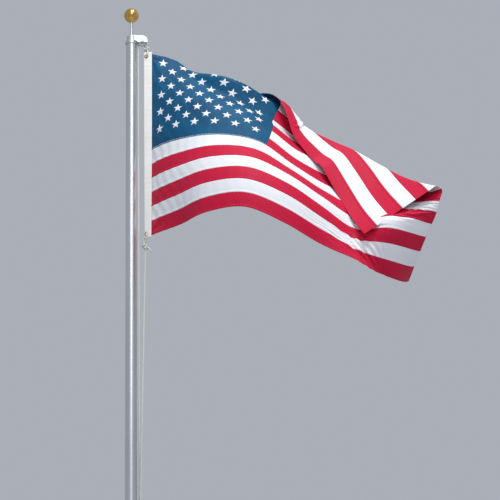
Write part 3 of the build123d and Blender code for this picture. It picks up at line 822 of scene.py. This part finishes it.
row, column = (g.ravel() for g in np.meshgrid(np.arange(9), np.arange(11), indexing="ij"))
sewn = (row + column) % 2 == 0
star_middles = (first_star + np.stack([column, row], -1) * star_spacing)[sewn]
angles_to_a_fifth = 4
angles = np.linspace(0, math.tau, 5 * angles_to_a_fifth + 1)
ring_share = np.array([0.0, 0.62, 0.93, 1.0, 0.0])
ring_height = np.array([0.0012, 0.0011, 0.0010, 0.0, 0.0])
ring_radius = ring_share[:, None] * star_outline(angles)
star_u = ring_radius * np.sin(angles)
star_v = -ring_radius * np.cos(angles)
points, quads, lengths = [], [], []
for side in (1, -1):
    for middle_u, middle_v in star_middles:
        done = sum(len(p) for p in points)
        quads.append(grid_quads(len(ring_share), len(angles), done)[:, ::side])
        u, v = (middle_u + star_u).ravel(), (middle_v + star_v).ravel()
        points.append(np.stack([u, v, side * np.repeat(ring_height, len(angles))], -1))
        lengths.append(np.stack([u, v + clear_of_stitches], -1))
flat_stars = np.concatenate(points)
u, v = flat_stars[:, 0], flat_stars[:, 1]
star_points = sewn_cloth(u, v) + facing(sewn_cloth, u, v) * flat_stars[:, 2:]
stars = add_piece(
    "canton_stars", star_points, np.concatenate(quads), "star_cloth", np.concatenate(lengths), merged=True
)
print(len(star_middles), "stars to a side")

# %% [markdown]
# The heading is a folded band of heavy canvas. The cloth pulls its outer edge forward, more at the bottom
# than at the top, so the band is twisted about the line of its grommets. It could be a bent box, but its
# section is drawn as a profile and carried down the band, so that the stitch lines press into it.

# %% Heading
heading_length = heading_box[1][2] - heading_box[0][2]
heading_width, heading_thickness = 0.038, 0.003
heading_stations = 160
ripple_height, ripple_length, ripple_beat = 0.0003, 0.004, 0.037
map_start = 0.5


def heading_surface(across, down, lift):
    """A point of the band: across it from its grommet line, down from the flag's top, off its middle."""
    turn = heading_turn(down)
    x = grommet_x + across * np.cos(turn) + lift * np.sin(turn)
    y = across * np.sin(turn) - lift * np.cos(turn)
    return np.stack([x, y, flag_top - down], -1)


section = np.array([
    (0.000, 0.35), (0.0012, 1.0), (0.0055, 0.92), (0.0105, 1.0), (0.019, 1.04), (0.027, 1.0),
    (0.0320, 0.92), (0.0365, 1.0), (0.038, 0.35),
])
down = np.linspace(-heading_past_cloth, heading_length - heading_past_cloth, heading_stations)
across = section[:, 0] - (grommet_x - heading_left)
grid_down, grid_across = (g.ravel() for g in np.meshgrid(down, across, indexing="ij"))
ripple = ripple_height * np.sin(grid_down / ripple_length) * np.sin(grid_down / ripple_beat)
lift = heading_thickness / 2 * np.tile(section[:, 1], len(down))
points = np.concatenate([
    heading_surface(grid_across, grid_down, lift + ripple),
    heading_surface(grid_across, grid_down, ripple - lift),
])
lengths = np.stack([grid_across + grommet_x - heading_left, grid_down + map_start], -1)
lengths = np.concatenate([lengths, lengths])
heading = add_piece("heading_band", points, shell_quads(len(down), len(across)), "heading", lengths)
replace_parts(heading, "flag_heading")

# %% [markdown]
# A grommet is a brass tube whose two ends are rolled out over the canvas. A torus would lack the tube
# through the hole, so the true section is turned round the hole's axis, as on a lathe, and then laid
# on the twisted band.

# %% Grommets
grommet_section = np.array([
    (5.4, -1.6), (5.4, 1.6), (5.8, 2.5), (6.9, 3.0), (8.4, 2.8), (9.8, 2.1), (10.5, 1.3),
    (10.2, 0.9), (9.2, 0.9), (6.8, 0.9), (6.8, -0.9), (9.2, -0.9), (10.2, -0.9),
    (10.5, -1.3), (9.8, -2.1), (8.4, -2.8), (6.9, -3.0), (5.8, -2.5), (5.4, -1.6),
]) / 1000
grommet_sides = 48
turn = np.linspace(0, math.tau, grommet_sides + 1)
ring = grommet_section[:, 0, None]
for name, corners in grommet_boxes.items():
    middle_down = flag_top - (corners[0][2] + corners[1][2]) / 2
    across = ring * np.cos(turn)
    down = middle_down + ring * np.sin(turn)
    angle = heading_turn(middle_down)
    lift = np.broadcast_to(grommet_section[:, 1, None], across.shape)
    points = np.stack([
        grommet_x + across * np.cos(angle) + lift * np.sin(angle),
        across * np.sin(angle) - lift * np.cos(angle),
        flag_top - down,
    ], -1)
    quads = grid_quads(len(grommet_section), len(turn))
    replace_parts(add_piece(name + "_brass", points, quads, "brass", merged=True), name)

# %% [markdown]
# The halyard is one rope: up from the flag, over the sheave, down the pole to the cleat and back up to the
# flag. Each length of it is a round section carried along a smooth line through a few chosen points.
# A curve object could carry it too, but the braid then has no map that is in true lengths.

# %% Rope helpers
cap_reach, cap_width = (0.9, 0.75, 0.35), (0.0, 0.62, 0.93)


def rope_line(points, spacing):
    """A smooth line through unevenly spaced points: Hermite cubics over the distances between them."""
    points = np.asarray(points, float)
    places = np.concatenate([[0], np.cumsum(np.linalg.norm(np.diff(points, axis=0), axis=1))])
    slopes = np.gradient(points, places, axis=0)
    at = np.linspace(0, places[-1], max(2, round(places[-1] / spacing)) + 1)
    span = np.clip(np.searchsorted(places, at, side="right") - 1, 0, len(points) - 2)
    size = (places[span + 1] - places[span])[:, None]
    x = (at - places[span])[:, None] / size
    return (
        points[span] * (2 * x**3 - 3 * x**2 + 1) + points[span + 1] * (3 * x**2 - 2 * x**3)
        + slopes[span] * size * (x**3 - 2 * x**2 + x) + slopes[span + 1] * size * (x**3 - x**2)
    )


def rope(name, line, across, replaced=(), sides=14, endless=False):
    """A round section carried along a line, with rounded ends unless the line is endless.

    Its frame is a given direction made square to the line, and the cross product of the two.
    """
    if endless:
        direction = unit(np.roll(line, -1, axis=0) - np.roll(line, 1, axis=0))
    else:
        direction = unit(np.gradient(line, axis=0))
    across = np.broadcast_to(np.asarray(across, float), line.shape)
    size = np.full(len(line), rope_radius)
    if endless:
        round_again = [np.concatenate([a, a[:1]]) for a in (line, direction, across, size)]
        line, direction, across, size = round_again
    else:
        cap = rope_radius * np.array(cap_reach)[:, None]
        line = np.concatenate([line[:1] - direction[:1] * cap, line, line[-1:] + direction[-1:] * cap[::-1]])
        ends = (len(cap_reach), len(cap_reach)), (0, 0)
        direction, across = (np.pad(a, ends, mode="edge") for a in (direction, across))
        narrow = rope_radius * np.array(cap_width)
        size = np.concatenate([narrow, size, narrow[::-1]])
    first = unit(across - direction * np.sum(across * direction, -1, keepdims=True))
    second = np.cross(direction, first)
    turn = np.linspace(0, math.tau, sides + 1)
    ring = np.cos(turn)[:, None] * first[:, None] + np.sin(turn)[:, None] * second[:, None]
    points = line[:, None] + ring * size[:, None, None]
    length = np.concatenate([[0], np.cumsum(np.linalg.norm(np.diff(line, axis=0), axis=1))])
    map_along, map_round = np.meshgrid(length, turn / math.tau, indexing="ij")
    lengths = np.stack([map_round, map_along], -1)
    piece = add_piece(name, points, grid_quads(len(line), sides + 1), "rope", lengths, merged=True)
    if replaced:
        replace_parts(piece, *replaced)
    print(name, round(length[-1], 3), "m of rope")


# %% [markdown]
# Over the sheave the rope follows its groove, half a turn at the pitch radius. The two long runs go down
# the pole's side, one on each side of the cleat. They are tight, so they hang in no curve: their few
# points only lead them from the sheave and the flag to the cleat.

# %% The halyard's runs
sheave_middle = np.array([0.0511, 0.0, 6.110])
pitch_radius = 0.0185
long_run_step, lead_step, arc_points = 0.02, 0.006, 40
haul_x = sheave_middle[0] - pitch_radius
over = np.linspace(0, math.pi, arc_points)
arc = sheave_middle + pitch_radius * np.stack([np.cos(over), 0 * over, np.sin(over)], -1)
lead_up = rope_line([(0.0696, 0, 6.0775), (0.0696, 0, 6.094), (0.0696, 0, 6.110)], lead_step / 2)[:-1]
lead_down = rope_line([(haul_x, 0, 6.110), (haul_x, 0, 6.04), (haul_x, 0, 5.96)], lead_step)[1:]
rope("rope_over_sheave", np.concatenate([lead_up, arc, lead_down]), (0, 1, 0), ["halyard_over_sheave"])
haul_points = [
    (haul_x, 0, 5.96), (haul_x, 0, 5.81), (0.0335, 0.001, 5.4), (0.0368, 0.004, 4.2), (0.0408, 0.0085, 2.9),
    (0.0445, 0.012, 1.75), (0.0456, 0.013, 1.4325),
]
rope("rope_haul_line", rope_line(haul_points, long_run_step), (0, 1, 0), ["halyard_haul_line"])
flag_line_points = [
    (0.0646, 0, 5.0757), (0.0606, -0.0015, 4.88), (0.0520, -0.0045, 4.42), (0.0425, -0.0078, 3.90),
    (0.0418, -0.0095, 3.2), (0.0440, -0.012, 2.2), (0.0456, -0.013, 1.4325),
]
rope("rope_flag_line", rope_line(flag_line_points, long_run_step), (0, 1, 0), ["halyard_flag_line"])

# %% [markdown]
# The two ends of the rope are bent to the grommets. Each goes through its grommet as a loop and is closed
# by a knot. An overhand knot drawn up tight is a trefoil: a line that goes twice round its axis while it
# rises and falls three times. It could be led through points set by hand, but sines and cosines of the
# angle, twice and three times the angle write it down.

# %% Loops and knots
knot_size, knot_across, knot_deep = 0.0041, 0.85, 1.3
knot_points, tail_step, loop_step = 90, 0.002, 0.0012
never_zero = 1e-6


def overhand_knot(middle, tall, lean):
    """A trefoil line about an upright axis, made taller and leant a little, and the ways out from it."""
    t = np.linspace(0, math.tau, knot_points, endpoint=False)
    x = np.sin(t) + 2 * np.sin(2 * t)
    y = np.cos(t) - 2 * np.cos(2 * t)
    z = -np.sin(3 * t)
    shape = np.stack([x * knot_across, z * knot_deep, y * tall], -1) * knot_size
    turned = np.stack([
        shape[:, 0] * math.cos(lean) + shape[:, 2] * math.sin(lean), shape[:, 1],
        shape[:, 2] * math.cos(lean) - shape[:, 0] * math.sin(lean),
    ], -1)
    return np.asarray(middle) + turned, turned + never_zero


upper_knot, upper_out = overhand_knot((0.0696, 0, 6.0765), 1.0, 0.4)
rope("upper_knot_rope", upper_knot, upper_out, ["upper_knot"], endless=True)
lower_knot, lower_out = overhand_knot((0.0646, 0, 5.083), 1.05, -0.5)
rope("lower_knot_rope", lower_knot, lower_out, ["lower_knot"], endless=True)
rope("lower_knot_tail", rope_line([
    (0.0646, -0.002, 5.083), (0.0730, -0.005, 5.078), (0.0820, -0.008, 5.070), (0.0890, -0.010, 5.058),
], tail_step), (0, 1, 0))
upper_loop_points = [
    (0.0720, 0, 6.078), (0.0740, -0.002, 6.0685), (0.0766, -0.008, 6.0550), (0.0728, -0.0095, 6.041),
    (0.0701, -0.0045, 6.0345), (0.0701, 0.0045, 6.0345), (0.0668, 0.0095, 6.041), (0.0628, 0.008, 6.0550),
    (0.0655, 0.002, 6.0685), (0.0672, 0, 6.078),
]
rope("upper_loop_rope", rope_line(upper_loop_points, loop_step), (1, 0, 0.1), ["upper_loop"])
lower_loop_points = [
    (0.0660, 0, 5.086), (0.0685, -0.002, 5.094), (0.0716, -0.0095, 5.116), (0.0722, -0.0115, 5.135),
    (0.0712, -0.0055, 5.1455), (0.0690, 0.0045, 5.1455), (0.0640, 0.0110, 5.135), (0.0595, 0.0090, 5.116),
    (0.0606, 0.002, 5.094), (0.0632, 0, 5.086),
]
rope("lower_loop_rope", rope_line(lower_loop_points, loop_step), (1, 0, 0.1), ["lower_loop"])

# %% [markdown]
# At the cleat the rope is belayed in a figure of eight: down behind the lower horn, across the front,
# round behind the upper horn, back across and down behind the lower horn again, then up to the flag.
# A figure of eight has a formula, but not one that clears the horns, so its points are listed one by one.

# %% Belay
belay_step = 0.0025
belay_points_mm = [
    (45.6, 13, 1432.5), (44.0, 14.5, 1400), (41.6, 16, 1350), (41.8, 14, 1322), (42.6, 0, 1313),
    (50.0, -13, 1317), (62.0, -15.5, 1326), (75.0, -7, 1341), (77.5, 0, 1350), (75.0, 7, 1359),
    (62.0, 15.5, 1374), (51.5, 12, 1382), (50.6, 0, 1386), (51.5, -12, 1382), (62.0, -15.5, 1374),
    (80.0, -7, 1360), (85.8, 0, 1350), (80.0, 7, 1340), (62.0, 15.5, 1328), (52.0, 13, 1322),
    (51.0, 0, 1321), (46.0, -14, 1328), (42.2, -16, 1350), (44.0, -14.5, 1400), (45.6, -13, 1432.5),
]
rope("rope_belay", rope_line(np.array(belay_points_mm) / 1000, belay_step), (1, 0, 0.05), ["halyard_belay"])

# %% [markdown]
# A plain pale floor and soft light, as in a studio: one large light in front and high above, which shades
# the folds, a weaker one from straight in front, and a pale world that fills the shadows and shows
# behind the flag. A photographed sky would light it too, but it would colour the white stripes.

# %% Stage and light
floor_radius, floor_sides = 14.0, 64
floor_turn = np.linspace(0, math.tau, floor_sides, endpoint=False)
floor_mesh = bpy.data.meshes.new("floor")
floor_ring = np.stack([np.cos(floor_turn), np.sin(floor_turn), 0 * floor_turn], -1) * floor_radius
floor_mesh.from_pydata(floor_ring.tolist(), [], [list(range(floor_sides))])
floor = bpy.data.objects.new("floor", floor_mesh)
bpy.context.collection.objects.link(floor)
floor_finish, _, floor_shader = new_finish("floor", Roughness=0.9)
floor_shader.inputs["Base Color"].default_value = paint(212, 213, 216)
floor_mesh.materials.append(floor_finish)

world = bpy.data.worlds.new("studio")
world.use_nodes = True
backdrop = world.node_tree.nodes["Background"]
backdrop.inputs["Color"].default_value = paint(206, 212, 222)
backdrop.inputs["Strength"].default_value = 0.65
bpy.context.scene.world = world
bpy.context.scene.view_settings.view_transform = "Standard"


def soft_light(name, place, aim, size, power, colour=(1, 1, 1)):
    """A square area light at a place, turned to face its aim."""
    lamp = bpy.data.lights.new(name, "AREA")
    lamp.size, lamp.energy, lamp.color = size, power, colour
    light = bpy.data.objects.new(name, lamp)
    bpy.context.collection.objects.link(light)
    away = unit(np.asarray(place, float) - np.asarray(aim, float))
    side = unit(np.cross((0, 0, 1), away))
    pose = np.eye(4)
    pose[:3, 0], pose[:3, 1], pose[:3, 2], pose[:3, 3] = side, np.cross(away, side), away, place
    light.matrix_world = pose.T.tolist()


soft_light("key", (1.8, -4.6, 14.0), aim=(0.7, 0, 5.6), size=3.0, power=760, colour=(1.0, 0.985, 0.96))
soft_light("front", (0.9, -8.0, 8.6), aim=(0.3, 0, 5.0), size=2.5, power=130)
